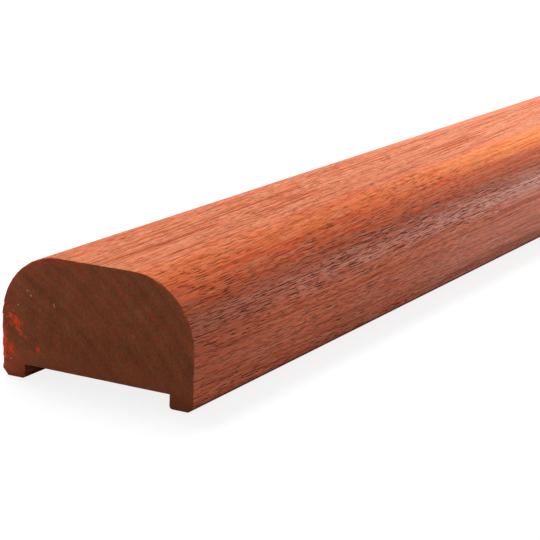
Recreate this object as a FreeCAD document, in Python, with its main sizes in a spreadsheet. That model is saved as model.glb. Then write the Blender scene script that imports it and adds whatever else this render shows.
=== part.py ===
"""Stair handrail length: one piece of moulded hardwood, grooved along its underside.

The rail lies along X on the flat bottoms of its two lips, and the origin is the middle of its
underside. Millimetres, +Z up. The section is drawn square and extruded to the sold length. Its
long arrises are then worked as a moulder works them: crown rounds on top, bevels outside the lips
and small rounds inside them.
"""

import FreeCAD, Part
import os
import Sketcher

# Driving dimensions: name, millimetres, what it measures.
DIMENSIONS = (
    ("rail_length", 2400, "length that the rail is sold in"),
    ("rail_width", 70, "overall width"),
    ("rail_height", 40, "overall height, lips included"),
    ("crown_radius", 21.5, "round between each side and the flat top"),
    ("lip_width", 8.5, "each lip, from the side to the groove wall"),
    ("groove_depth", 4.5, "groove, from the lip bottoms to its ceiling"),
    ("lip_bevel", 2, "45 degree bevel on the outer arris of each lip"),
    ("lip_round", 1, "round on the inner arris of each lip"),
)
PART_LABEL = "handrail"
PLACE_TOLERANCE = 1e-4
CUBIC_MM_PER_LITRE = 1e6

# Sketcher's index numbers for a line's two ends and for the sketch's own axes.
START_INDEX, END_INDEX = 1, 2
HORIZONTAL_AXIS_INDEX, VERTICAL_AXIS_INDEX = -1, -2


def make_sheet(doc):
    """The spreadsheet of driving dimensions, one row each, with the name as the value's alias."""
    sheet = doc.addObject("Spreadsheet::Sheet", "Sizes")
    for row, (name, value, meaning) in enumerate(DIMENSIONS, start=1):
        sheet.set(f"A{row}", name)
        sheet.set(f"B{row}", str(value))
        sheet.setAlias(f"B{row}", name)
        sheet.set(f"C{row}", meaning)
    doc.recompute()
    return sheet


def section_corners(sheet):
    """Corners of the square section as (across, up), clockwise from the top left."""
    side = sheet.rail_width / 2
    wall = side - sheet.lip_width
    return {
        "top_left": (-side, sheet.rail_height),
        "top_right": (side, sheet.rail_height),
        "outer_right": (side, 0),
        "inner_right": (wall, 0),
        "ceiling_right": (wall, sheet.groove_depth),
        "ceiling_left": (-wall, sheet.groove_depth),
        "inner_left": (-wall, 0),
        "outer_left": (-side, 0),
    }


def draw_section(body, sheet, corners):
    """The closed square section on the YZ plane, fully constrained and sized by the sheet."""
    sketch = body.newObject("Sketcher::SketchObject", "Section")
    plane = next(f for f in body.Origin.OriginFeatures if f.Role == "YZ_Plane")
    sketch.AttachmentSupport = [(plane, "")]
    sketch.MapMode = "FlatFace"

    points = [FreeCAD.Vector(across, up, 0) for across, up in corners.values()]
    lines = [
        sketch.addGeometry(Part.LineSegment(point, points[(i + 1) % len(points)]))
        for i, point in enumerate(points)
    ]
    top, right_side, right_lip, right_wall, ceiling, left_wall, left_lip, left_side = lines

    start, end = START_INDEX, END_INDEX
    for i, line in enumerate(lines):
        following = lines[(i + 1) % len(lines)]
        sketch.addConstraint(Sketcher.Constraint("Coincident", line, end, following, start))
    for line in (right_side, right_wall, left_wall, left_side):
        sketch.addConstraint(Sketcher.Constraint("Vertical", line))
    for line in (right_lip, left_lip):
        sketch.addConstraint(Sketcher.Constraint("Horizontal", line))
        sketch.addConstraint(
            Sketcher.Constraint("PointOnObject", line, start, HORIZONTAL_AXIS_INDEX))
    for line in (top, ceiling):
        sketch.addConstraint(
            Sketcher.Constraint("Symmetric", line, start, line, end, VERTICAL_AXIS_INDEX))

    # Each size runs from one line's start to its end, in the direction that makes it positive.
    sizes = (
        ("rail_width", "DistanceX", top, start, end),
        ("rail_height", "DistanceY", right_side, end, start),
        ("lip_width", "DistanceX", right_lip, end, start),
        ("groove_depth", "DistanceY", right_wall, start, end),
    )
    for name, direction, line, first, last in sizes:
        value = getattr(sheet, name)
        index = sketch.addConstraint(Sketcher.Constraint(direction, line, first, line, last, value))
        sketch.renameConstraint(index, name)
        sketch.setExpression(f"Constraints.{name}", f"Sizes.{name}")
    return sketch


def extrude_section(body, sketch):
    """The square-cornered rail, half its length each way from the section's plane."""
    pad = body.newObject("PartDesign::Pad", "Length")
    pad.Profile = sketch
    pad.SideType = "Symmetric"
    pad.setExpression("Length", "Sizes.rail_length")
    return pad


def long_edges(shape, corners):
    """Names of the edges that run the rail's length through these corners of the section."""
    names = []
    for number, edge in enumerate(shape.Edges, start=1):
        points = [vertex.Point for vertex in edge.Vertexes]
        for across, up in corners:
            off = [max(abs(point.y - across), abs(point.z - up)) for point in points]
            if max(off) < PLACE_TOLERANCE:
                names.append(f"Edge{number}")
    if len(names) != len(corners):
        raise RuntimeError(f"found {names} for the arrises at {corners}")
    return names


def work_arrises(doc, body, kind, name, base, corners, size_property, size_name):
    """A fillet or chamfer of one size along the arrises at these corners of the section."""
    doc.recompute()
    feature = body.newObject(kind, name)
    feature.Base = (base, long_edges(base.Shape, corners))
    feature.setExpression(size_property, f"Sizes.{size_name}")
    return feature


def make_handrail(doc, sheet):
    """The body: section, length and worked arrises, each bound to the sheet."""
    corners = section_corners(sheet)
    body = doc.addObject("PartDesign::Body", "Handrail")
    body.Label = PART_LABEL
    rail = extrude_section(body, draw_section(body, sheet, corners))

    top = (corners["top_left"], corners["top_right"])
    outer = (corners["outer_left"], corners["outer_right"])
    inner = (corners["inner_left"], corners["inner_right"])
    rail = work_arrises(doc, body, "PartDesign::Fillet", "Crown", rail, top, "Radius", "crown_radius")
    rail = work_arrises(doc, body, "PartDesign::Chamfer", "LipBevels", rail, outer, "Size", "lip_bevel")
    rail = work_arrises(doc, body, "PartDesign::Fillet", "LipRounds", rail, inner, "Radius", "lip_round")
    body.Tip = rail
    doc.recompute()
    return body


def check(doc, body):
    """Stops before anything is written if a feature failed or the rail isn't one sound solid."""
    failed = [o.Label for o in doc.Objects if {"Invalid", "Error"} & set(o.State)]
    if failed:
        raise RuntimeError(f"these objects failed: {failed}")
    shape = body.Shape
    if shape.isNull() or not shape.isValid() or len(shape.Solids) != 1:
        raise RuntimeError(f"{body.Label} isn't one valid solid")


def main():
    doc = FreeCAD.newDocument("StairHandrail")
    sheet = make_sheet(doc)
    handrail = make_handrail(doc, sheet)
    check(doc, handrail)
    os.makedirs("parts", exist_ok=True)
    handrail.Shape.exportStep(f"parts/{handrail.Label}.step")
    box = handrail.Shape.BoundBox
    print(f"{handrail.Label}: {box.XLength:.2f} x {box.YLength:.2f} x {box.ZLength:.2f} mm,"
          f" {handrail.Shape.Volume / CUBIC_MM_PER_LITRE:.4f} litres")


main()
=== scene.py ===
"""Stair handrail length: the look of one moulded hardwood rail, on a pale floor.

The rail lies along X with its groove down. Its near end, at the low X end, and its low Y side face
the camera. The mesh is swept from the same section as the solid that it replaces, with open pores,
a rough saw cut and chipped end arrises added as relief. Everything is in metres.

Two distances place things on the long faces: along the rail, from its near end, and around the
section, from the middle of the top and positive towards the low Y side.
"""

import math

import bpy
import numpy as np
from mathutils import Matrix, Vector, geometry


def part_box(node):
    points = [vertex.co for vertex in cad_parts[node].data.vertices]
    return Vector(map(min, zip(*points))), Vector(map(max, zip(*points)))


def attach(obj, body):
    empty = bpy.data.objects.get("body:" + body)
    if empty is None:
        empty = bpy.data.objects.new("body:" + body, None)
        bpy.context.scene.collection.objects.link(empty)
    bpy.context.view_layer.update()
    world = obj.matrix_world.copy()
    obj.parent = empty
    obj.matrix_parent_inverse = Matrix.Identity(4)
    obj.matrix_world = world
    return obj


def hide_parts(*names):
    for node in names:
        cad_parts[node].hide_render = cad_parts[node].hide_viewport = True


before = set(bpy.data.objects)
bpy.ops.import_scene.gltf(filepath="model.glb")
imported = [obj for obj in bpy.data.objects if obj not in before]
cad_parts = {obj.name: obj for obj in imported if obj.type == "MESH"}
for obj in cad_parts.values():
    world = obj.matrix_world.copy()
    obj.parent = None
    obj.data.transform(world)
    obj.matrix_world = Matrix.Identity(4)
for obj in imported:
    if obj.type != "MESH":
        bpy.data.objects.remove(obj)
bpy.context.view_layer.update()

MM = 0.001

# The rail's overall size comes from the frame. The rest of the section is as in the solid.
RAIL_LOW, RAIL_HIGH = (np.array(corner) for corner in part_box("handrail"))
LENGTH, WIDTH, HEIGHT = RAIL_HIGH - RAIL_LOW
CROWN_RADIUS = 21.5 * MM
LIP_WIDTH = 8.5 * MM
GROOVE_DEPTH = 4.5 * MM
LIP_BEVEL = 2 * MM
LIP_ROUND = 1 * MM

# Distances around the section, down one side to its bevel.
FLAT_HALF = WIDTH / 2 - CROWN_RADIUS
CROWN_ARC = CROWN_RADIUS * math.pi / 2
SIDE_DROP = HEIGHT - CROWN_RADIUS - LIP_BEVEL
OUTER_REACH = FLAT_HALF + CROWN_ARC + SIDE_DROP
GROOVE_HALF = WIDTH / 2 - LIP_WIDTH

# The mesh: pores lie on furrow lines along the rail, each line three columns of vertices wide.
FURROW_SPACING = 2.2 * MM
FURROW_WIDTH = 0.3 * MM
CEILING_STEP = 2.6 * MM
LIP_ROUND_POINTS = 5
NEAR_ROW, FAR_ROW = 3 * MM, 8 * MM
NEAR_STRETCH = 450 * MM
END_ROWS = np.array((1.2, 2.6, 4.4)) * MM
CAP_SPACING = 0.9 * MM
SHARP_ANGLE = math.radians(32)

# The relief, all of it into the wood. A cell is the size of a pattern's bumps, along and around.
PORE_DEPTH = 0.14 * MM
PORE_GAP = 14 * MM
SWAY = 0.5 * MM
SWAY_CELL = (90 * MM, 14 * MM)
SWAY_FADE = 4 * MM
UNDULATION = 0.02 * MM
UNDULATION_CELL = (110 * MM, 9 * MM)
ARRIS_EASE = 0.14 * MM
ARRIS_CELL = 0.8 * MM
CHIP_COUNT = 16
CHIP_DEPTH = 0.4 * MM
CHIP_HALVES = (0.5 * MM, 1.3 * MM)
SAW_DEPTH = 0.05 * MM
SAW_CENTRE = (60 * MM, -90 * MM)
SAW_ARC, SAW_FIBRE = 1.6 * MM, 0.9 * MM

# The texture map for a baked copy: the long faces in one strip, and the two ends above it.
MAP_MARGIN = 0.004
LONG_SHARE = 0.85
RIM_RUN = 1.5 * MM

# The grain leaves the rail's axis by a slope on the top and by another on the sides, and wanders
# about that line. Each wander has a cell, along and around, and its reach.
TOP_SLOPE, SIDE_SLOPE = 0.035, -0.01
SIDE_START = 31 * MM
GRAIN_WANDERS = (
    ((150 * MM, 20 * MM), 3 * MM),
    ((14 * MM, 4 * MM), 0.3 * MM),
)

# Streaks in the long faces: the length of a cell along the grain and its width across it.
RIBBON_CELL = (600 * MM, 12 * MM)
BAND_CELL = (40 * MM, 1.1 * MM)
FIBRE_CELL = (18 * MM, 0.3 * MM)
THREAD_CELL = (30 * MM, 0.9 * MM)
LINE_CELL = (70 * MM, 0.9 * MM)
CROWD_CELL = (40 * MM, 4 * MM)

# Fine pores, as spindles in lanes along the grain, one to a cell: the lane's width, the cell's
# length, the shortest and the longest spindle, and a spindle's width.
FINE_PORES = (
    (0.5 * MM, 7.5 * MM, (2.8 * MM, 7.3 * MM), 0.3 * MM),
    (0.8 * MM, 15 * MM, (5.5 * MM, 14.5 * MM), 0.32 * MM),
)

# The slow swell along the rail is the sum of two waves, each a length and its share. It paints light
# that grows towards the far end over the near stretch, and a slow change of tone further along.
LIGHT_SWELL_WAVES = ((1000 * MM, 0.6), (700 * MM, 0.4))

# Where tints, painted light and painted shade of the long faces fade in or out, as distances around the
# section.
FLAT_EDGE = (FLAT_HALF - 2 * MM, FLAT_HALF + 2 * MM)
CROWN_HIGHLIGHT_START, CROWN_HIGHLIGHT_END = (12 * MM, 18 * MM), (24.5 * MM, 28 * MM)
TERMINATOR_START, TERMINATOR_END = (20 * MM, 28 * MM), (31 * MM, 40 * MM)
SIDE_EDGE = (30 * MM, 36 * MM)
FAR_SIDE_SHADE_EDGE = (-18 * MM, -34 * MM)
SHADE_START, SHADE_END = (30 * MM, 34 * MM), (34 * MM, 42 * MM)
SHEEN_START, SHEEN_END = (42 * MM, 54 * MM), (58 * MM, 62 * MM)
NEAR_SHADE_END = (55 * MM, 63 * MM)
FOOT_SHADE_EDGE = (59 * MM, 62 * MM)
UNDER_EDGE = (OUTER_REACH - 1.2 * MM, OUTER_REACH + 1.5 * MM)

# How far along the rail the near end's painted shade reaches.
NEAR_SHADE_REACH = 70 * MM

# Patterns in the sawn ends, as bumps to the metre.
MOTTLE, SPECKLE, TINGE, RAGGED = 160, 1300, 420, 700

# In the sawn ends: the growth rings' middle and spacing, the heights over which the painted light on
# the foot fades, and the width of the redder rim.
RING_CENTRE = (0, 80 * MM, -70 * MM)
RING_STEP = 2.6 * MM
LIT_FOOT_EDGE = (6 * MM, 13 * MM)
RED_RIM_WIDTH = 4 * MM

# Marks on the near end: place (y, z) and half sizes in mm, and turn in degrees.
RED_STAINS = (
    ((29.8, 17.6), (4.6, 1.9), 48),
    ((31.6, 8.8), (2.4, 1.6), 60),
    ((34.2, 9.5), (8.0, 1.3), 90),
    ((21.3, 10.1), (1.3, 0.8), 80),
    ((-13.9, 19.8), (0.6, 0.5), 0),
)
PALE_FLECKS = (
    ((25.1, 28.2), (0.8, 0.25), 40),
    ((23.9, 26.9), (0.6, 0.25), 50),
    ((15.2, 25.1), (1.0, 0.25), 80),
    ((28.9, 23.2), (0.5, 0.25), 10),
    ((31.8, 5.6), (0.4, 0.3), 0),
)

# Colours, as 8-bit display values. The tones are ramps, each colour at its place from 0 to 1.
LONG_TONES = ((0.3, (167, 76, 41)), (0.5, (198, 104, 65)), (0.7, (221, 130, 88)))
# Painted light: the paler wood where the slow swell along the rail is high.
PAINTED_STRETCH_LIGHT = (232, 144, 110)
# Painted highlight on the low Y crown: its colour where the slow swell is low and where it is high.
DULL_CROWN_HIGHLIGHT, BRIGHT_CROWN_HIGHLIGHT = (212, 110, 50), (243, 143, 80)
# Painted shade: a warm red where the low Y crown turns away from the light.
PAINTED_TERMINATOR_RED = (206, 78, 44)
RED_THREAD, PALE_THREAD = (218, 86, 52), (206, 132, 102)
YELLOW_TOP = (188, 133, 88)
# Painted shade that darkens the high Y side, which faces the key lamp.
PAINTED_FAR_SIDE_SHADE = (140, 62, 34)
DARK_LINE = (165, 60, 12)
DARK_PORE = (70, 24, 10)
# Painted shade on the sides, below the low Y crown and towards the near end.
PAINTED_SIDE_SHADE = (40, 18, 12)
# Painted sheen on the lower part of the low Y side.
PAINTED_SHEEN = (243, 166, 149)
# Painted shade on the foot of the low Y side, the bottom bevels and the groove.
PAINTED_UNDERSIDE_SHADE = (84, 40, 26)
END_TONES = ((0.3, (87, 44, 25)), (0.5, (115, 61, 35)), (0.7, (143, 78, 46)))
RED_END_GRAIN, OLIVE_END_GRAIN = (138, 54, 34), (104, 70, 44)
# Painted light on the sawn ends just above the groove.
PAINTED_END_FOOT_LIGHT = (150, 78, 52)
RED_END_RIM = (158, 60, 36)
STAIN_RED, FLECK_PALE = (226, 64, 36), (226, 150, 112)

# The camera, as fitted to the photograph.
CAMERA_PLACE = Vector((-1630.99, -304.59, 173.15)) * MM
CAMERA_HEADING, CAMERA_PITCH, CAMERA_ROLL = (math.radians(a) for a in (29.62, -14.26, 1.343))
CAMERA_LENS, CAMERA_SENSOR = 121.96, 36

# The floor: half its width, its tone in the light, and the strength and share of its even white.
FLOOR_HALF = 15
FLOOR_TONE = 0.8
FLOOR_GLOW, FLOOR_GLOW_SHARE = 1.06, 0.8

rng = np.random.default_rng(7)


def srgb(red, green, blue):
    """A colour given as 8-bit display values, as the linear RGBA that shaders take."""
    shares = np.array((red, green, blue)) / 255
    linear = np.where(shares <= 0.04045, shares / 12.92, ((shares + 0.055) / 1.055) ** 2.4)
    return (*linear.tolist(), 1.0)


def smooth_noise(u, v):
    """Smooth random values from 0 to 1, about one bump to each unit of u and v."""
    u = u - u.min()
    v = v - v.min()
    lattice = rng.random((int(u.max()) + 2, int(v.max()) + 2))
    i, j = u.astype(int), v.astype(int)
    a, b = (t * t * (3 - 2 * t) for t in (u - i, v - j))
    low = lattice[i, j] * (1 - a) + lattice[i + 1, j] * a
    high = lattice[i, j + 1] * (1 - a) + lattice[i + 1, j + 1] * a
    return low * (1 - b) + high * b


def outer_section(around):
    """Points (y, z) of the top, crowns and sides at these distances around the section."""
    reach = np.abs(around)
    turn = np.clip((reach - FLAT_HALF) / CROWN_RADIUS, 0, math.pi / 2)
    across = np.minimum(reach, FLAT_HALF) + CROWN_RADIUS * np.sin(turn)
    drop = CROWN_RADIUS * (1 - np.cos(turn)) + np.maximum(reach - FLAT_HALF - CROWN_ARC, 0)
    return np.stack((-np.sign(around) * across, HEIGHT - drop), -1)


def under_section():
    """Points (y, z) of the underside, from the low Y bevel's foot to the high Y one's."""
    wall, foot = GROOVE_HALF, WIDTH / 2 - LIP_BEVEL
    turns = np.linspace(1.5 * math.pi, math.pi, LIP_ROUND_POINTS)
    bend = [(wall + LIP_ROUND * (1 + math.cos(t)), LIP_ROUND * (1 + math.sin(t))) for t in turns]
    lip = np.array([(foot, 0), ((foot + wall + LIP_ROUND) / 2, 0), *bend])
    ceiling_across = np.linspace(-wall, wall, int(2 * wall / CEILING_STEP) + 1)
    ceiling = np.stack((ceiling_across, np.full_like(ceiling_across, GROOVE_DEPTH)), -1)
    return np.concatenate((lip * (-1, 1), ceiling, lip[::-1]))


def furrow_stations():
    """Columns of the top, crowns and sides, three to a furrow line, and which of them are mid lines."""
    count = int(2 * OUTER_REACH / FURROW_SPACING)
    places = np.arange(count) + 0.5 + rng.uniform(-0.3, 0.3, count)
    lines = places * 2 * OUTER_REACH / count - OUTER_REACH
    offsets = np.array((-0.5, 0, 0.5)) * FURROW_WIDTH
    stations = np.concatenate(([-OUTER_REACH], (lines[:, None] + offsets).ravel(), [OUTER_REACH]))
    middles = 2 + 3 * np.arange(count)
    return stations, middles


def row_stations():
    """Distances of the mesh's rows along the rail, closer at both ends and over the near stretch."""
    near = np.arange(END_ROWS[-1] + NEAR_ROW, NEAR_STRETCH, NEAR_ROW)
    far_end = LENGTH - END_ROWS[-1]
    far = np.linspace(near[-1], far_end, int((far_end - near[-1]) / FAR_ROW))[1:-1]
    return np.concatenate((END_ROWS, near, far, LENGTH - END_ROWS[::-1]))


def section_edges(stations, under):
    """Distances around the section at each column, and at the first column again after a full turn."""
    section = np.concatenate((outer_section(stations), under))
    steps = np.linalg.norm(np.roll(section, -1, 0) - section, axis=1)
    return np.concatenate((stations, OUTER_REACH + np.cumsum(steps[len(stations) - 1:])))


def pore_depths(rows, columns, middles):
    """How deep the pores are at each row and column, as shares of the deepest, on the mid lines."""
    depths = np.zeros((len(rows), columns))
    steps = np.gradient(rows)
    for middle in middles:
        row = rng.integers(1, 8)
        while row < len(rows) - 6:
            run = int(rng.integers(1, 4))
            share = rng.uniform(0.35, 1)
            depths[row:row + run, middle] = share * rng.uniform(0.7, 1, run)
            gap = rng.exponential(PORE_GAP) / steps[row]
            row += run + 1 + int(gap)
    return depths


def outward(ring):
    """Unit normals (y, z) of a closed ring of section points, on the side away from the wood."""
    along = np.roll(ring, -1, -2) - np.roll(ring, 1, -2)
    normals = np.stack((along[..., 1], -along[..., 0]), -1)
    return normals / np.linalg.norm(normals, axis=-1, keepdims=True)


def swept_rings(rows, stations, under, around, pores):
    """The section's points (y, z) at each row, with its pores, its sway and its slight waves."""
    along, around = np.meshgrid(rows, around, indexing="ij")
    outer_along, outer_around = np.meshgrid(rows, stations, indexing="ij")
    hold = np.clip((OUTER_REACH - np.abs(outer_around)) / SWAY_FADE, 0, 1)
    sway = 2 * smooth_noise(outer_along / SWAY_CELL[0], outer_around / SWAY_CELL[1]) - 1
    outer = outer_section(outer_around + SWAY * hold * sway)
    rings = np.concatenate((outer, np.repeat(under[None], len(rows), 0)), 1)
    waves = smooth_noise(along / UNDULATION_CELL[0], around / UNDULATION_CELL[1])
    return rings - outward(rings) * (PORE_DEPTH * pores + UNDULATION * waves)[..., None]


def arris_wear(ring, around, stations):
    """How far an end's arris is worn back at each column: chipped outside, torn where the saw left."""
    wear = ARRIS_EASE * (0.4 + smooth_noise(around / ARRIS_CELL, np.zeros_like(around)))
    for _ in range(CHIP_COUNT):
        middle = rng.uniform(-OUTER_REACH, OUTER_REACH)
        half = rng.uniform(*CHIP_HALVES)
        depth = CHIP_DEPTH * rng.uniform(0.4, 1)
        wear[:len(stations)] += depth * np.clip(1 - np.abs(stations - middle) / half, 0, 1)
    torn = (ring[:, 0] > 0.49 * WIDTH) & (ring[:, 1] > LIP_BEVEL) & (ring[:, 1] < 0.6 * HEIGHT)
    wear[torn] += CHIP_DEPTH * rng.uniform(0, 1, torn.sum()) ** 2
    return wear


def end_loops(ring, wear, face, inward):
    """The two loops of points round a worn arris: the cut face's rim, and the shoulder behind it."""
    rim = ring - outward(ring) * wear[:, None]
    at_face = np.full((len(ring), 1), face)
    return np.hstack((at_face, rim)), np.hstack((at_face + inward * wear[:, None], ring))


def swept_loops(rows, stations, under, around, pores):
    """Loops of points round the rail, from the near end's rim to the far end's."""
    rings = swept_rings(rows, stations, under, around, pores)
    at_rows = np.repeat(RAIL_LOW[0] + rows[:, None, None], len(around), 1)
    near_wear, far_wear = (arris_wear(ring, around, stations) for ring in (rings[0], rings[-1]))
    near_rim, near_shoulder = end_loops(rings[0], near_wear, RAIL_LOW[0], 1)
    far_rim, far_shoulder = end_loops(rings[-1], far_wear, RAIL_HIGH[0], -1)
    swept = np.concatenate((at_rows, rings), 2)
    return np.concatenate(([near_rim, near_shoulder], swept, [far_shoulder, far_rim]))


def long_faces(rows, edges):
    """Quads between the loops, and the distances along and around at each quad's corners."""
    along = np.concatenate(([-RIM_RUN, 0], rows, [LENGTH, LENGTH + RIM_RUN]))
    spans, columns = len(along) - 1, len(edges) - 1
    here = np.arange(spans)[:, None] * columns + np.arange(columns)
    beside = np.roll(here, -1, 1)

    # Each quad's corners go around the rail, then along it.
    quads = np.stack((here, beside, beside + columns, here + columns), -1)
    nearer, farther = along[:-1, None], along[1:, None]
    corner_along = np.stack((nearer, nearer, farther, farther), -1)
    corner_around = np.stack((edges[:-1], edges[1:], edges[1:], edges[:-1]), -1)
    places = np.stack(np.broadcast_arrays(corner_along, corner_around), -1)
    return quads.reshape(-1, 4), places.reshape(-1, 2)


def inside_section(y, z, margin):
    """Which points lie in the section, at least this far from its outline."""
    side = np.abs(y)
    within = (side < WIDTH / 2 - margin) & (z < HEIGHT - margin) & (z > margin)
    within &= (WIDTH / 2 - side) + z > LIP_BEVEL + 1.5 * margin
    within &= (side > GROOVE_HALF + margin) | (z > GROOVE_DEPTH + margin)
    corner = (side > FLAT_HALF) & (z > HEIGHT - CROWN_RADIUS)
    reach = np.hypot(side - FLAT_HALF, z - (HEIGHT - CROWN_RADIUS))
    return within & (~corner | (reach < CROWN_RADIUS - margin))


def cap_mesh(outline):
    """Points (y, z) inside an end's outline, and triangles over the outline's points and then these."""
    across = np.arange(-WIDTH / 2, WIDTH / 2, CAP_SPACING)
    up = np.arange(0, HEIGHT, CAP_SPACING)
    y, z = (t.ravel() + rng.uniform(-0.3, 0.3, t.size) * CAP_SPACING for t in np.meshgrid(across, up))
    kept = inside_section(y, z, 1.2 * CAP_SPACING)
    inner = np.stack((y[kept], z[kept]), -1)

    points = [Vector(point) for point in np.concatenate((outline, inner)) / MM]
    loop = list(range(len(outline)))
    only_inside, join_distance = 1, 1e-6
    made = geometry.delaunay_2d_cdt(points, [], [loop], only_inside, join_distance)
    triangles, origins = made[2:4]
    source = np.array([numbers[0] for numbers in origins])
    return inner, source[np.array(triangles)]


def saw_relief(points):
    """How far the saw cut is sunk at points (y, z) of an end: arcs of the blade, and torn fibres."""
    reach = np.hypot(*(points - SAW_CENTRE).T)
    arcs = smooth_noise(reach / SAW_ARC, np.zeros_like(reach))
    fibres = smooth_noise(*(points / SAW_FIBRE).T)
    return SAW_DEPTH * (0.6 * arcs + 0.9 * fibres)


def cut_end(rim, inward):
    """A sawn end's points inside its rim, and its triangles over the rim's points and then these."""
    inner, triangles = cap_mesh(rim[:, 1:])
    sunk = rim[0, 0] + inward * saw_relief(inner)
    return np.hstack((sunk[:, None], inner)), triangles[:, ::-inward]


def strip_map(places):
    """The texture map's places for the long faces' corners: a strip over its lower part."""
    low, high = places.min(0), places.max(0)
    shares = (places - low) / (high - low) * (1, LONG_SHARE)
    return MAP_MARGIN + (1 - 2 * MAP_MARGIN) * shares


def end_map(column, points):
    """The texture map's places for points (y, z) of an end, in one of two columns above the strip."""
    corner = np.array((column / 2 + MAP_MARGIN, LONG_SHARE + 2 * MAP_MARGIN))
    scale = (1 - LONG_SHARE - 3 * MAP_MARGIN) / HEIGHT
    return corner + scale * (points + (WIDTH / 2, 0))


def rail_mesh():
    """The rail as one closed mesh, with its grain distances, pore depths and map for a baked copy."""
    stations, middles = furrow_stations()
    under = under_section()
    rows = row_stations()
    edges = section_edges(stations, under)
    columns = len(edges) - 1
    pores = pore_depths(rows, columns, middles)
    loops = swept_loops(rows, stations, under, edges[:-1], pores)
    quads, places = long_faces(rows, edges)

    points = [loops.reshape(-1, 3)]
    faces = quads.tolist()
    slots = [0] * len(faces)
    grain = [places]
    baked = [strip_map(places)]
    total = len(points[0])
    for slot, rim, rim_start, inward in ((1, loops[0], 0, 1), (2, loops[-1], total - columns, -1)):
        inner, triangles = cut_end(rim, inward)
        numbers = np.concatenate((rim_start + np.arange(columns), total + np.arange(len(inner))))
        corners = np.concatenate((rim, inner))[triangles.ravel()]
        points.append(inner)
        faces += numbers[triangles].tolist()
        slots += [slot] * len(triangles)
        grain.append(np.zeros((triangles.size, 2)))
        baked.append(end_map(slot - 1, corners[:, 1:]))
        total += len(inner)

    mesh = bpy.data.meshes.new("handrail_timber")
    mesh.from_pydata(np.concatenate(points).tolist(), [], faces)
    mesh.polygons.foreach_set("material_index", slots)
    mesh.uv_layers.new(name="OFBake").uv.foreach_set("vector", np.concatenate(baked).ravel())
    vectors = np.pad(np.concatenate(grain), ((0, 0), (0, 1)))
    mesh.attributes.new("grain", "FLOAT_VECTOR", "CORNER").data.foreach_set("vector", vectors.ravel())
    depths = np.zeros(total)
    depths[2 * columns:(2 + len(rows)) * columns] = pores.ravel()
    mesh.attributes.new("pore", "FLOAT", "POINT").data.foreach_set("value", depths)
    mesh.shade_smooth()
    mesh.set_sharp_from_angle(angle=SHARP_ANGLE)
    return mesh


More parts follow.
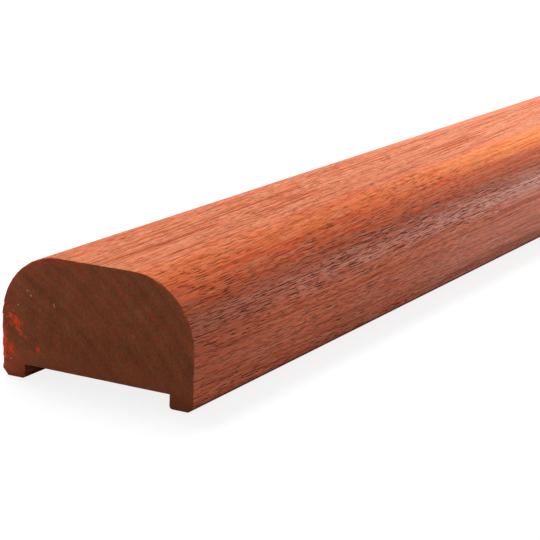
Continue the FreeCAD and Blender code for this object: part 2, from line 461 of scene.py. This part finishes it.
class Shader:
    """A material's node tree, with short calls that add a node, join it and give its output."""

    def __init__(self, name):
        self.material = bpy.data.materials.new(name)
        self.material.use_nodes = True
        self.nodes = self.material.node_tree.nodes
        self.links = self.material.node_tree.links
        self.surface = self.nodes["Principled BSDF"]

    def node(self, kind, inputs, **settings):
        made = self.nodes.new(kind)
        for name, value in settings.items():
            setattr(made, name, value)
        for name, value in inputs.items():
            self.feed(made.inputs[name], value)
        return made

    def feed(self, socket, value):
        if isinstance(value, bpy.types.NodeSocket):
            self.links.new(value, socket)
        else:
            socket.default_value = value

    def made_with(self, **inputs):
        """The material, with these values on the surface's inputs, an underscore for each space."""
        for name, value in inputs.items():
            self.feed(self.surface.inputs[name.replace("_", " ")], value)
        return self.material

    def attribute(self, name, output):
        return self.node("ShaderNodeAttribute", {}, attribute_name=name).outputs[output]

    def place(self):
        return self.node("ShaderNodeTexCoord", {}).outputs["Object"]

    def math(self, operation, first, second=0.0):
        return self.node("ShaderNodeMath", {0: first, 1: second}, operation=operation).outputs[0]

    def product(self, first, *others):
        for value in others:
            first = self.math("MULTIPLY", first, value)
        return first

    def weighted(self, *parts):
        """The sum of values, each times its share."""
        total = 0.0
        for value, share in parts:
            total = self.math("ADD", total, self.math("MULTIPLY", value, share))
        return total

    def vector(self, operation, first, second):
        return self.node("ShaderNodeVectorMath", {0: first, 1: second}, operation=operation).outputs[0]

    def size(self, vector):
        return self.node("ShaderNodeVectorMath", {0: vector}, operation="LENGTH").outputs["Value"]

    def split(self, vector):
        return self.node("ShaderNodeSeparateXYZ", {"Vector": vector}).outputs

    def join(self, **parts):
        return self.node("ShaderNodeCombineXYZ", parts).outputs[0]

    def noise(self, place, detail, roughness=0.5, dimensions="2D"):
        inputs = {"Vector": place, "Scale": 1.0, "Detail": detail, "Roughness": roughness}
        return self.node("ShaderNodeTexNoise", inputs, noise_dimensions=dimensions).outputs["Fac"]

    def streaks(self, grain, cell, detail, roughness=0.5):
        """Noise in the long faces, in cells of this length and width."""
        length, width = cell
        return self.noise(self.vector("MULTIPLY", grain, (1 / length, 1 / width, 0)), detail, roughness)

    def grit(self, place, bumps, detail, roughness):
        """Noise in a sawn end, this many bumps to the metre."""
        return self.noise(self.vector("MULTIPLY", place, (0, bumps, bumps)), detail, roughness, "3D")

    def draws(self, place):
        """Three random values from 0 to 1 for each whole-numbered place."""
        drawn = self.node("ShaderNodeTexWhiteNoise", {"Vector": place}, noise_dimensions="2D")
        return self.split(drawn.outputs["Color"])

    def rise(self, value, low, high, bottom=0.0, top=1.0):
        """A smooth step of value from bottom, at low, to top, at high."""
        inputs = {"Value": value, "From Min": low, "From Max": high, "To Min": bottom, "To Max": top}
        return self.node("ShaderNodeMapRange", inputs, interpolation_type="SMOOTHSTEP").outputs["Result"]

    def between(self, value, start, end, after=0.0):
        """A smooth step of value from 0 to 1 over the start, and from 1 to after over the end."""
        return self.product(self.rise(value, *start), self.rise(value, *end, 1, after))

    def spindles(self, grain, lane, cell, lengths, width):
        """Spindles along the grain, one to a cell of a lane, as 1 inside and 0 outside, some faint."""
        along, across = self.split(grain)[:2]
        across = self.math("DIVIDE", across, lane)
        row = self.math("FLOOR", across)
        shift = self.draws(self.join(X=row, Y=-1.0))[0]
        along = self.math("ADD", self.math("DIVIDE", along, cell), shift)
        column = self.math("FLOOR", along)
        first, second, third = self.draws(self.join(X=row, Y=column))
        faint = self.draws(self.join(X=column, Y=row))[0]

        half = self.rise(first, 0, 1, lengths[0] / cell / 2, lengths[1] / cell / 2)
        middle = self.rise(second, 0, 1, 0.3, 0.7)
        off_along = self.math("SUBTRACT", self.math("FRACT", along), middle)
        centre = self.rise(third, 0, 1, 0.3, 0.7)
        off_across = self.math("SUBTRACT", self.math("FRACT", across), centre)
        reach = self.size(self.join(
            X=self.math("DIVIDE", off_along, half),
            Y=self.math("MULTIPLY", off_across, 2 * lane / width),
        ))
        return self.product(self.rise(reach, 0.4, 1, 1, 0), self.rise(faint, 0, 0.8, 0.15, 1))

    def blotch(self, place, ragged, centre, half, turn):
        """1 in a ragged patch of an end and 0 outside it, half its size along and across its turn."""
        offset = self.vector("SUBTRACT", place, (0, *(c * MM for c in centre)))
        inputs = {"Vector": offset, "Angle": -math.radians(turn)}
        turned = self.node("ShaderNodeVectorRotate", inputs, rotation_type="X_AXIS").outputs[0]
        reach = self.size(self.vector("MULTIPLY", turned, (0, *(1 / (h * MM) for h in half))))
        return self.rise(self.math("ADD", reach, ragged), 0.3, 1, 1, 0)

    def mix(self, share, first, second):
        made = self.node("ShaderNodeMix", {}, data_type="RGBA")
        sockets = (made.inputs[0], made.inputs[6], made.inputs[7])
        for socket, value in zip(sockets, (share, first, second)):
            self.feed(socket, value)
        return made.outputs[2]

    def tint(self, colour, share, display):
        """A colour with a share of another mixed in, which is given as display values."""
        return self.mix(share, colour, srgb(*display))

    def ramp(self, value, tones):
        made = self.node("ShaderNodeValToRGB", {"Fac": value})
        elements = made.color_ramp.elements
        while len(elements) < len(tones):
            elements.new(0.5)
        for element, (position, display) in zip(elements, tones):
            element.position = position
            element.color = srgb(*display)
        return made.outputs["Color"]

    def bump(self, height, distance, strength):
        inputs = {"Height": height, "Distance": distance, "Strength": strength}
        return self.node("ShaderNodeBump", inputs).outputs["Normal"]


def grain_places(g, place):
    """Distances that follow the grain, with each face's own slope, and with the top's everywhere."""
    along, around = g.split(place)[:2]
    wandering = place
    for cell, reach in GRAIN_WANDERS:
        wander = g.math("SUBTRACT", g.streaks(place, cell, 1), 0.5)
        wandering = g.vector("ADD", wandering, g.join(Y=g.product(wander, reach)))
    on_side = g.math("GREATER_THAN", g.math("ABSOLUTE", around), SIDE_START)
    slope = g.rise(on_side, 0, 1, TOP_SLOPE, SIDE_SLOPE)
    by_face = g.vector("ADD", wandering, g.join(Y=g.product(along, slope)))
    as_top = g.vector("ADD", wandering, g.join(Y=g.product(along, TOP_SLOPE)))
    return by_face, as_top


def slow_painted_light(g, along):
    """A value that goes slowly up and down along the rail, from 0 at the near end: painted light that
    grows towards the far end over the near stretch, and a slow change of tone further along.
    """
    waves = []
    for length, share in LIGHT_SWELL_WAVES:
        waves.append((g.math("COSINE", g.product(along, math.tau / length)), share))
    return g.rise(g.weighted(*waves), 1, -1)


def painted_light_tints(g, colour, around, light_swell):
    """Painted light where the slow swell is high, a painted orange highlight along the low Y crown, and
    painted warm red shade below it.
    """
    # Painted light: paler wood where the slow swell is high.
    colour = g.tint(colour, g.product(light_swell, 0.6), PAINTED_STRETCH_LIGHT)
    # Painted highlight: an orange stripe along the low Y crown, brighter where the slow swell is high.
    crown_highlight = g.between(around, CROWN_HIGHLIGHT_START, CROWN_HIGHLIGHT_END)
    crown_highlight = g.product(crown_highlight, g.rise(light_swell, 0.1, 0.75, 0.45, 0.9))
    highlight_colour = g.mix(g.rise(light_swell, 0.1, 0.75), srgb(*DULL_CROWN_HIGHLIGHT), srgb(*BRIGHT_CROWN_HIGHLIGHT))
    colour = g.mix(crown_highlight, colour, highlight_colour)
    # Painted shade: a warm red below the highlight, where the crown turns away from the light.
    terminator_red = g.between(around, TERMINATOR_START, TERMINATOR_END, after=0.4)
    return g.tint(colour, g.product(terminator_red, 0.35), PAINTED_TERMINATOR_RED)


def thread_tints(g, colour, grain):
    """Threads of redder and of paler wood."""
    hue = g.streaks(grain, THREAD_CELL, 3, 0.6)
    colour = g.tint(colour, g.rise(hue, 0.5, 0.72, 0, 0.6), RED_THREAD)
    return g.tint(colour, g.rise(hue, 0.5, 0.28, 0, 0.6), PALE_THREAD)


def face_tints(g, colour, around, flat):
    """A yellower flat top, and painted shade on the high Y side, which faces the key lamp."""
    colour = g.tint(colour, g.product(flat, 0.25), YELLOW_TOP)
    # Painted shade: the high Y side is darkened against the key lamp's strong light.
    return g.tint(colour, g.rise(around, *FAR_SIDE_SHADE_EDGE, 0, 0.35), PAINTED_FAR_SIDE_SHADE)


def dark_lines(g, colour, grain, flat, upright):
    """Long dark lines, strongest on the flat top and weakest on the crowns."""
    lines = g.rise(g.streaks(grain, LINE_CELL, 2), 0.38, 0.48, 1, 0)
    by_face = g.math("MAXIMUM", g.product(flat, 0.85), g.rise(upright, 0, 1, 0.4, 0.65))
    return g.tint(colour, g.product(lines, by_face), DARK_LINE)


def fine_pores(g, grain, upright, light_swell):
    """Short and long spindles, crowded in places, stronger on the sides and fainter where the slow
    painted light is high.
    """
    short, long = (g.spindles(grain, *kind) for kind in FINE_PORES)
    crowding = g.rise(g.streaks(grain, CROWD_CELL, 2), 0.3, 0.7, 0.62, 1)
    by_face = g.rise(upright, 0, 1, 0.95, 1.2)
    by_light_swell = g.rise(light_swell, 0.1, 0.8, 1, 0.45)
    return g.product(g.math("MAXIMUM", short, long), crowding, by_face, by_light_swell)


def painted_side_tints(g, colour, along, around, upright, light_swell, under):
    """Painted shade and a painted sheen on the sides, and painted shade on the underside."""
    # Painted shade: the low Y side is darker just below its crown, where it turns from the light, and
    # both sides are darker towards the near end, but not at the foot of the low Y one.
    below_crown = g.product(g.between(around, SHADE_START, SHADE_END), 0.12)
    near_end = g.product(upright, g.rise(along, 0, NEAR_SHADE_REACH, 0.24, 0))
    near_end = g.product(near_end, g.rise(around, *NEAR_SHADE_END, 1, 0))
    colour = g.tint(colour, g.math("MAXIMUM", below_crown, near_end), PAINTED_SIDE_SHADE)

    # The lower part of the low Y side has a painted pink sheen, and its foot painted shade, both with
    # the slow swell.
    painted_sheen = g.between(around, SHEEN_START, SHEEN_END, after=0.4)
    painted_sheen = g.product(painted_sheen, g.rise(light_swell, 0, 0.4, 0.06, 0.22))
    colour = g.tint(colour, painted_sheen, PAINTED_SHEEN)
    # Painted shade at the foot of the low Y side and over the underside, where little light reaches.
    foot = g.product(g.rise(around, *FOOT_SHADE_EDGE), g.rise(light_swell, 0.2, 0.55, 0, 0.28))
    return g.tint(colour, g.math("MAXIMUM", foot, g.product(under, 0.55)), PAINTED_UNDERSIDE_SHADE)


def long_grain():
    """Moulded faces: red-brown ribbons and fibres along the rail, with dark open pores."""
    g = Shader("long_grain")
    place = g.attribute("grain", "Vector")
    along, around = g.split(place)[:2]
    grain, ribbon_grain = grain_places(g, place)
    light_swell = slow_painted_light(g, along)
    flat = g.rise(g.math("ABSOLUTE", around), *FLAT_EDGE, 1, 0)
    upright = g.rise(g.math("ABSOLUTE", around), *SIDE_EDGE)
    under = g.rise(around, *UNDER_EDGE)

    ribbons = g.streaks(ribbon_grain, RIBBON_CELL, 2)
    bands = g.streaks(grain, BAND_CELL, 3, 0.6)
    fibres = g.streaks(grain, FIBRE_CELL, 3, 0.6)
    fine = fine_pores(g, grain, upright, light_swell)
    pores = g.math("MAXIMUM", fine, g.rise(g.attribute("pore", "Fac"), 0, 0.6))

    colour = g.ramp(g.weighted((ribbons, 0.25), (bands, 0.35), (fibres, 0.4)), LONG_TONES)
    colour = painted_light_tints(g, colour, around, light_swell)
    colour = thread_tints(g, colour, grain)
    colour = face_tints(g, colour, around, flat)
    colour = dark_lines(g, colour, grain, flat, upright)
    colour = g.tint(colour, g.product(pores, 0.95), DARK_PORE)
    colour = painted_side_tints(g, colour, along, around, upright, light_swell, under)

    # The pores and the underside are rougher than the fibres.
    roughness = g.rise(g.math("SUBTRACT", fibres, pores), -0.3, 0.65, 1.0, 0.4)
    roughness = g.math("MAXIMUM", roughness, under)
    height = g.math("SUBTRACT", g.product(fibres, 0.3), fine)
    normal = g.bump(height, 0.1 * MM, 0.45)
    return g.made_with(Base_Color=colour, Roughness=roughness, Specular_IOR_Level=0.02, Normal=normal)


def end_marks(g, colour, place, speckle):
    """The near end's red stains and pale flecks, with ragged edges and broken by the speckle."""
    ragged = g.math("SUBTRACT", g.grit(place, RAGGED, 3, 0.7), 0.5)
    strength = g.rise(speckle, 0.35, 0.6, 0.35, 0.9)
    for marks, display, wildness in ((RED_STAINS, STAIN_RED, 5.0), (PALE_FLECKS, FLECK_PALE, 1.5)):
        for centre, half, turn in marks:
            patch = g.blotch(place, g.product(ragged, wildness), centre, half, turn)
            colour = g.tint(colour, g.product(patch, strength), display)
    return colour


def end_grain(name, stained):
    """Sawn ends: dark brown and speckled, with faint growth rings falling towards low Y."""
    g = Shader(name)
    place = g.vector("MULTIPLY", g.place(), (0, 1, 1))
    across, up = g.split(place)[1:]
    mottle = g.grit(place, MOTTLE, 3, 0.6)
    speckle = g.grit(place, SPECKLE, 2, 0.6)
    radius = g.size(g.vector("SUBTRACT", place, RING_CENTRE))
    rings = g.noise(g.join(X=g.math("DIVIDE", radius, RING_STEP)), 1)
    colour = g.ramp(g.weighted((mottle, 0.35), (speckle, 0.43), (rings, 0.22)), END_TONES)
    tinge = g.grit(place, TINGE, 3, 0.65)
    colour = g.tint(colour, g.rise(tinge, 0.5, 0.75, 0, 0.75), RED_END_GRAIN)
    colour = g.tint(colour, g.rise(tinge, 0.5, 0.25, 0, 0.75), OLIVE_END_GRAIN)

    # Painted light that lifts the shade just above the groove, and a redder rim on the high Y crown.
    colour = g.tint(colour, g.rise(up, *LIT_FOOT_EDGE, 0.33, 0), PAINTED_END_FOOT_LIGHT)
    crown_reach = g.size(g.vector("SUBTRACT", place, (0, FLAT_HALF, HEIGHT - CROWN_RADIUS)))
    rim = g.rise(crown_reach, CROWN_RADIUS - RED_RIM_WIDTH, CROWN_RADIUS, 0, 0.35)
    colour = g.tint(colour, g.product(rim, g.rise(across, 0, FLAT_HALF)), RED_END_RIM)
    if stained:
        colour = end_marks(g, colour, place, speckle)
    normal = g.bump(speckle, 0.2 * MM, 0.6)
    return g.made_with(Base_Color=colour, Roughness=0.8, Specular_IOR_Level=0.1, Normal=normal)


def make_rail():
    """The rail's one piece, with the long faces' material and one for each end."""
    rail = bpy.data.objects.new("handrail_timber", rail_mesh())
    bpy.context.collection.objects.link(rail)
    for material in (long_grain(), end_grain("end_grain_near", True), end_grain("end_grain_far", False)):
        rail.data.materials.append(material)
    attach(rail, "root")
    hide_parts("handrail")


def seen_directly(tree):
    """A value that is 1 for rays from the camera, reflections and glass, and 0 for other light."""
    path = tree.nodes.new("ShaderNodeLightPath")
    share = path.outputs["Is Camera Ray"]
    for name in ("Is Glossy Ray", "Is Transmission Ray"):
        both = tree.nodes.new("ShaderNodeMath")
        both.operation = "MAXIMUM"
        tree.links.new(share, both.inputs[0])
        tree.links.new(path.outputs[name], both.inputs[1])
        share = both.outputs[0]
    return share


def make_world(fill):
    """White to the camera and in reflections, and a soft even fill for the rest."""
    world = bpy.data.worlds.new("studio")
    bpy.context.scene.world = world
    world.use_nodes = True
    tree = world.node_tree
    strength = tree.nodes.new("ShaderNodeMapRange")
    tree.links.new(seen_directly(tree), strength.inputs["Value"])
    strength.inputs["To Min"].default_value = fill
    strength.inputs["To Max"].default_value = 1.0
    background = tree.nodes["Background"]
    background.inputs["Color"].default_value = (1, 1, 1, 1)
    tree.links.new(strength.outputs["Result"], background.inputs["Strength"])


def floor_material():
    """Pale and matte in the light, with an even white glow for the camera over most of that."""
    material = bpy.data.materials.new("pale_floor")
    material.use_nodes = True
    tree = material.node_tree
    tree.nodes.remove(tree.nodes["Principled BSDF"])
    matte = tree.nodes.new("ShaderNodeBsdfDiffuse")
    matte.inputs["Color"].default_value = (FLOOR_TONE, FLOOR_TONE, FLOOR_TONE, 1)
    white = tree.nodes.new("ShaderNodeEmission")
    white.inputs["Strength"].default_value = FLOOR_GLOW
    share = tree.nodes.new("ShaderNodeMath")
    share.operation = "MULTIPLY"
    share.inputs[1].default_value = FLOOR_GLOW_SHARE
    tree.links.new(seen_directly(tree), share.inputs[0])
    blend = tree.nodes.new("ShaderNodeMixShader")
    for socket, source in zip(blend.inputs, (share, matte, white)):
        tree.links.new(source.outputs[0], socket)
    tree.links.new(blend.outputs[0], tree.nodes["Material Output"].inputs["Surface"])
    return material


def make_floor():
    """A wide pale floor, nearly white to the camera, which keeps a light shadow."""
    corners = [(x * FLOOR_HALF, y * FLOOR_HALF, 0) for x, y in ((-1, -1), (1, -1), (1, 1), (-1, 1))]
    mesh = bpy.data.meshes.new("floor")
    mesh.from_pydata(corners, [], [(0, 1, 2, 3)])
    mesh.materials.append(floor_material())
    floor = bpy.data.objects.new("floor", mesh)
    floor.location.z = RAIL_LOW[2]
    bpy.context.collection.objects.link(floor)


def make_lamp(name, place, aim, size, power, spread=180, sheen_only=False):
    """A soft rectangular lamp at a place, pointed at another, for all light or just for reflections."""
    data = bpy.data.lights.new(name, "AREA")
    data.shape = "RECTANGLE"
    data.size, data.size_y = size
    data.energy = power
    data.spread = math.radians(spread)
    lamp = bpy.data.objects.new(name, data)
    lamp.location = place
    lamp.rotation_euler = (Vector(aim) - lamp.location).to_track_quat("-Z", "Y").to_euler()
    lamp.visible_camera = False
    lamp.visible_diffuse = not sheen_only
    bpy.context.collection.objects.link(lamp)


def make_camera():
    """The camera at its fitted place, turned by its heading and pitch and then rolled."""
    data = bpy.data.cameras.new("camera")
    data.lens, data.sensor_width = CAMERA_LENS, CAMERA_SENSOR
    camera = bpy.data.objects.new("camera", data)
    level = math.pi / 2
    heading = Matrix.Rotation(CAMERA_HEADING - level, 4, "Z")
    pitch = Matrix.Rotation(level + CAMERA_PITCH, 4, "X")
    roll = Matrix.Rotation(CAMERA_ROLL, 4, "Z")
    camera.matrix_world = Matrix.Translation(CAMERA_PLACE) @ heading @ pitch @ roll
    bpy.context.collection.objects.link(camera)
    bpy.context.scene.camera = camera


make_camera()
make_rail()
make_floor()
make_world(fill=0.36)
make_lamp("key", place=(0.3, 1.3, 2.5), aim=(0, 0, 0), size=(2.6, 0.8), power=147)
make_lamp(
    "side", place=(1.2, -0.9, 0.15), aim=(-1.0, 0, 0.02), size=(1.6, 0.28), power=4.0,
    spread=50, sheen_only=True,
)
bpy.context.scene.view_settings.view_transform = "Standard"
